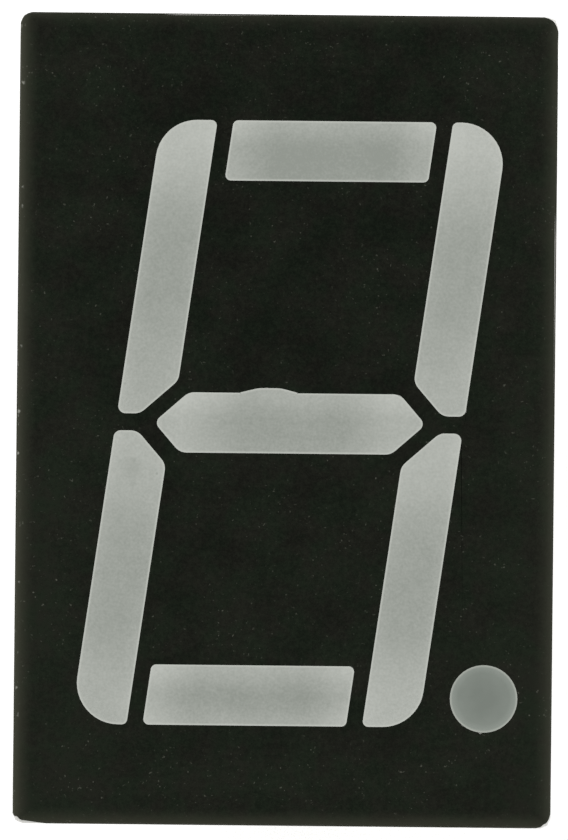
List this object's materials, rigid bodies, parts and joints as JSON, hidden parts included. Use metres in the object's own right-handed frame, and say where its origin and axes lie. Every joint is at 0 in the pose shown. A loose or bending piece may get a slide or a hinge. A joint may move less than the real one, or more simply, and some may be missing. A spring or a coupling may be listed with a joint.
{
  "type": "eight-segment display",
  "caption": "Through-hole digit display: white housing with a black printed face, slanted grey bars, a decimal point and leads underneath in rows.",
  "frame": {"origin": "centre of the seating plane, which is the housing's back rim", "axes": "+Z out of the printed face, +Y to the top of the digit, +X to its right"},
  "size_m": [0.0126, 0.019, 0.014],
  "materials": {
    "housing": "moulded white polycarbonate, satin",
    "face_ink": "matt black printing ink, worn at the corners",
    "bar_epoxy": "milky grey diffusing epoxy, cast flush with the face",
    "point_epoxy": "milky grey diffusing epoxy, cast flush with the face",
    "board": "glass epoxy laminate with a white resist",
    "copper": "etched copper",
    "solder": "tin solder",
    "potting": "milky casting epoxy, slightly dished",
    "chip": "sawn gallium arsenide phosphide die",
    "bond_wire": "aluminium bonding wire",
    "pin_tin": "tinned copper alloy wire, drawn and cut"
  },
  "bodies": {
    "root": {"reflector_housing": "housing", "face_print": "face_ink", "circuit_board": "board", "copper_tracks": "copper", "solder_joints": "solder", "back_potting": "potting", "segment_a": "bar_epoxy", "segment_b": "bar_epoxy", "segment_c": "bar_epoxy", "segment_d": "bar_epoxy", "segment_e": "bar_epoxy", "segment_f": "bar_epoxy", "segment_g": "bar_epoxy", "decimal_point": "point_epoxy", "led_chip_a": "chip", "led_chip_b": "chip", "led_chip_c": "chip", "led_chip_d": "chip", "led_chip_e": "chip", "led_chip_f": "chip", "led_chip_g": "chip", "led_chip_point": "chip", "bond_wire_a": "bond_wire", "bond_wire_b": "bond_wire", "bond_wire_c": "bond_wire", "bond_wire_d": "bond_wire", "bond_wire_e": "bond_wire", "bond_wire_f": "bond_wire", "bond_wire_g": "bond_wire", "bond_wire_point": "bond_wire", "pin_1": "pin_tin", "pin_2": "pin_tin", "pin_3": "pin_tin", "pin_4": "pin_tin", "pin_5": "pin_tin", "pin_6": "pin_tin", "pin_7": "pin_tin", "pin_8": "pin_tin", "pin_9": "pin_tin", "pin_10": "pin_tin"}
  },
  "joints": []
}
